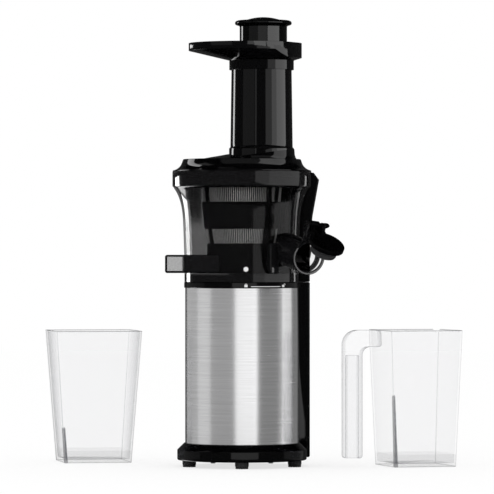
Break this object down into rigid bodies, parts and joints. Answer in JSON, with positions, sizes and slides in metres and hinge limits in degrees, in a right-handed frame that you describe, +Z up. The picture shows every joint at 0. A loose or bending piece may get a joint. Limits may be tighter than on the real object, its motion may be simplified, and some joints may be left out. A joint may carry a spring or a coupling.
{
  "type": "cold press juicer",
  "caption": "Upright slow juicer: steel motor body, smoke bowl with hinged-cap spout and pulp duct, offset feed chute with tray and pusher, pulp cup and juice jug.",
  "frame": {"origin": "floor level on the axis of the steel motor body", "axes": "+Z up along the motor and auger axis, -Y the front with the lock marks, +X to the right"},
  "size_m": [0.4034, 0.2633, 0.4286],
  "materials": {
    "gloss_black": "gloss, moulded",
    "smoke": "gloss, see-through smoke grey",
    "clear": "gloss, clear",
    "brushed": "brushed round the body",
    "steel": "machined",
    "laminations": "matte",
    "rubber": "matte",
    "white_print": "printed",
    "copper": "enamelled wire",
    "nylon": "matte",
    "board": "coated",
    "inner_black": "matte"
  },
  "bodies": {
    "base": {"base_ring": "gloss_black", "rubber_feet": "rubber", "bottom_plate": "inner_black", "bottom_screws": "steel", "steel_sleeve": "brushed", "inner_housing": "inner_black", "top_deck": "gloss_black", "lock_marks": "white_print", "rear_column": "gloss_black", "switch_bezel": "gloss_black", "switch_body": "inner_black", "cord_gland": "rubber", "interlock_switch": "inner_black", "motor_can": "steel", "motor_stator": "laminations", "motor_windings": "copper", "motor_bracket": "steel", "motor_bearings": "steel", "gearbox_case": "inner_black", "gearbox_lid": "inner_black", "gearbox_screws": "steel", "idler_axle": "steel", "output_bearing": "steel", "deck_seal": "rubber", "control_board": "board"},
    "switch_rocker": {"rocker": "gloss_black"},
    "rotor": {"rotor_core": "laminations", "motor_shaft": "steel", "cooling_fan": "nylon"},
    "idler": {"idler_gears": "nylon"},
    "drive": {"output_gear": "nylon", "drive_shaft": "steel", "auger": "inner_black"},
    "bowl": {"juicing_bowl": "smoke", "pulp_duct": "smoke", "juice_spout": "smoke", "bowl_rear_cover": "gloss_black", "bowl_seal": "rubber", "strainer_frame": "inner_black", "strainer_mesh": "steel", "alignment_dot": "white_print", "rim_catch": "smoke", "cap_hinge_pin": "steel"},
    "brush": {"brush_frame": "inner_black", "silicone_wipers": "rubber"},
    "lid_body": {"lid": "gloss_black", "feed_chute": "gloss_black", "lid_seal": "rubber"},
    "tray": {"hopper_tray": "gloss_black"},
    "pusher_body": {"pusher": "gloss_black"},
    "cap": {"spout_cap": "gloss_black", "cap_plug": "rubber"},
    "interlock": {"interlock_rod": "steel", "rod_spring": "steel"},
    "pulp_container": {"pulp_cup": "clear"},
    "jug": {"juice_jug": "clear", "jug_handle": "clear"}
  },
  "joints": [
    {"name": "rocker_tilt", "type": "hinge", "parent": "base", "child": "switch_rocker", "pos_m": [0.04377, 0.04377, 0.062], "axis": [-0.7071, 0.7071, 0], "range_deg": [-8, 8]},
    {"name": "motor_spin", "type": "hinge", "parent": "base", "child": "rotor", "pos_m": [0, 0, 0.07], "axis": [0, 0, 1], "continuous": true},
    {"name": "idler_spin", "type": "hinge", "parent": "base", "child": "idler", "pos_m": [-0.01697, -0.01697, 0.11], "axis": [0, 0, 1], "continuous": true},
    {"name": "drive_spin", "type": "hinge", "parent": "base", "child": "drive", "pos_m": [0, 0, 0.15], "axis": [0, 0, 1], "continuous": true},
    {"name": "bowl_twist", "type": "hinge", "parent": "base", "child": "bowl", "pos_m": [0, 0, 0.176], "axis": [0, 0, 1], "range_deg": [0, 41]},
    {"name": "brush_spin", "type": "hinge", "parent": "bowl", "child": "brush", "pos_m": [0, 0, 0.2], "axis": [0, 0, 1], "continuous": true},
    {"name": "lid_lift", "type": "slide", "parent": "bowl", "child": "lid_body", "axis": [0, 0, 1], "range_m": [0, 0.12]},
    {"name": "tray_lift", "type": "slide", "parent": "lid_body", "child": "tray", "axis": [0, 0, 1], "range_m": [0, 0.08]},
    {"name": "pusher_lift", "type": "slide", "parent": "tray", "child": "pusher_body", "axis": [0, 0, 1], "range_m": [0, 0.15]},
    {"name": "cap_hinge", "type": "hinge", "parent": "bowl", "child": "cap", "pos_m": [0.06929, -0.08456, 0.22928], "axis": [0.8915, 0.4367, -0.1204], "range_deg": [-24, 66]},
    {"name": "interlock_press", "type": "slide", "parent": "bowl", "child": "interlock", "axis": [0, 0, 1], "range_m": [-0.003, 0], "stiffness_N_per_m": 200, "springref_m": 0.0006, "deforming": ["rod_spring"]},
    {"name": "pulp_cup_lift", "type": "slide", "parent": "base", "child": "pulp_container", "axis": [0, 0, 1], "range_m": [0, 0.1]},
    {"name": "juice_jug_lift", "type": "slide", "parent": "base", "child": "jug", "axis": [0, 0, 1], "range_m": [0, 0.045]}
  ],
  "couplings": [
    {"joint": "idler_spin", "follows": "motor_spin", "ratio": -0.19403},
    {"joint": "drive_spin", "follows": "motor_spin", "ratio": 0.037648},
    {"joint": "brush_spin", "follows": "motor_spin", "ratio": -0.012549}
  ]
}
